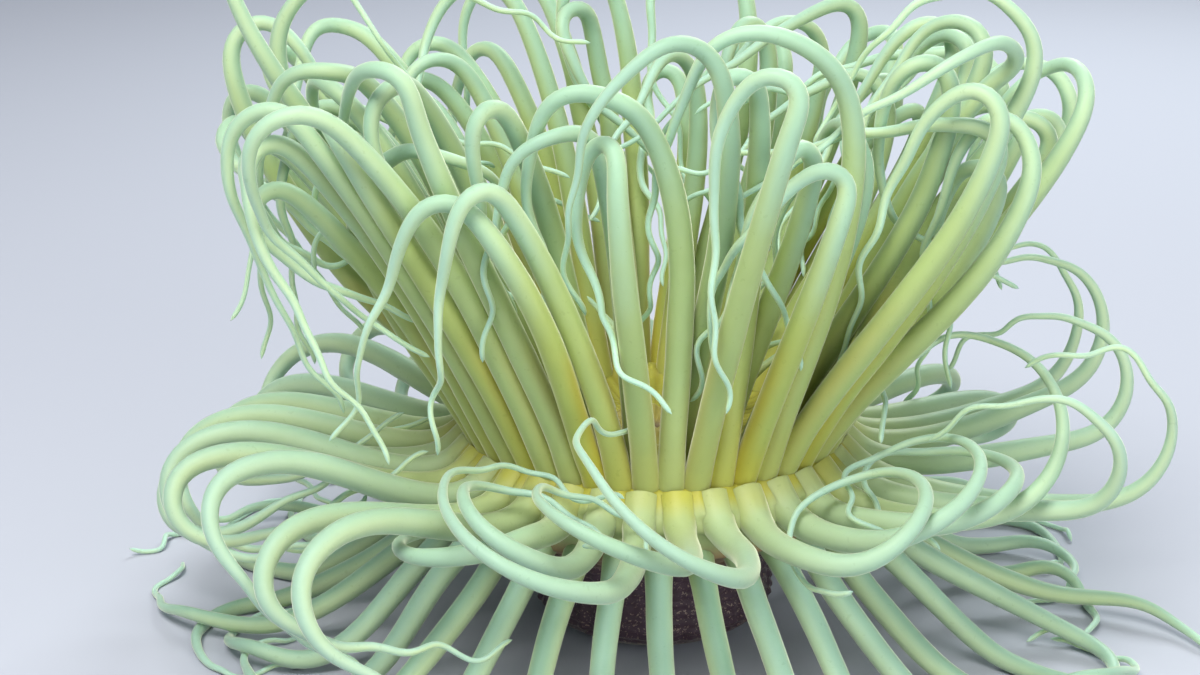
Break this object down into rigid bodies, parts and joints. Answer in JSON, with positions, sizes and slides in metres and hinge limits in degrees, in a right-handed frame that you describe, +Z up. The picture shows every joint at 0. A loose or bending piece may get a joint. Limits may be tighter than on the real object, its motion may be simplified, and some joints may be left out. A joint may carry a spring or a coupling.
{
  "type": "tube anemone",
  "caption": "Tube anemone standing on its foot: stout column, oral disc with a slit mouth, short labial tentacles and a wide crown of long curling marginal tentacles.",
  "frame": {"origin": "centre of the flat under the foot, at floor level", "axes": "+Z up along the column; -Y towards the side that is seen from the front, +X to its right"},
  "size_m": [0.2507, 0.2263, 0.1596],
  "materials": {
    "foot": "wrinkled, dark purple-brown",
    "column": "soft, wrinkled, purple-brown with pale flecks",
    "collar": "soft, pinkish brown",
    "oral_disc": "soft, moist, amber",
    "lips": "soft, folded, brownish amber",
    "labial_tentacles": "soft, moist, pale straw",
    "inner_tentacles": "moist, translucent olive-yellow",
    "inner_tips": "moist, translucent pale green",
    "upright_tentacles": "moist, translucent yellow-green",
    "upright_tips": "moist, translucent pale green",
    "spreading_tentacles": "moist, translucent pale yellow-green",
    "spreading_tips": "moist, translucent mint",
    "drooping_tentacles": "moist, translucent blue-green"
  },
  "bodies": {
    "root": {"collar": "collar", "column": "column", "drooping_1": "drooping_tentacles", "drooping_2": "drooping_tentacles", "drooping_3": "drooping_tentacles", "drooping_4": "drooping_tentacles", "drooping_5": "drooping_tentacles", "drooping_6": "drooping_tentacles", "drooping_7": "drooping_tentacles", "drooping_8": "drooping_tentacles", "foot": "foot", "inner_1": "inner_tentacles", "inner_1_tip": "inner_tips", "inner_2": "inner_tentacles", "inner_2_tip": "inner_tips", "inner_3": "inner_tentacles", "inner_3_tip": "inner_tips", "inner_4": "inner_tentacles", "inner_4_tip": "inner_tips", "labial_1": "labial_tentacles", "labial_2": "labial_tentacles", "labial_3": "labial_tentacles", "labial_4": "labial_tentacles", "lips": "lips", "oral_disc": "oral_disc", "spreading_1": "spreading_tentacles", "spreading_1_tip": "spreading_tips", "spreading_2": "spreading_tentacles", "spreading_2_tip": "spreading_tips", "spreading_3": "spreading_tentacles", "spreading_3_tip": "spreading_tips", "spreading_4": "spreading_tentacles", "spreading_4_tip": "spreading_tips", "spreading_5": "spreading_tentacles", "spreading_5_tip": "spreading_tips", "spreading_6": "spreading_tentacles", "spreading_6_tip": "spreading_tips", "spreading_7": "spreading_tentacles", "spreading_7_tip": "spreading_tips", "upright_1": "upright_tentacles", "upright_1_tip": "upright_tips", "upright_2": "upright_tentacles", "upright_2_tip": "upright_tips", "upright_3": "upright_tentacles", "upright_3_tip": "upright_tips", "upright_4": "upright_tentacles", "upright_4_tip": "upright_tips", "upright_5": "upright_tentacles", "upright_5_tip": "upright_tips", "upright_6": "upright_tentacles", "upright_6_tip": "upright_tips", "upright_7": "upright_tentacles", "upright_7_tip": "upright_tips", "upright_8": "upright_tentacles", "upright_8_tip": "upright_tips"}
  },
  "joints": []
}
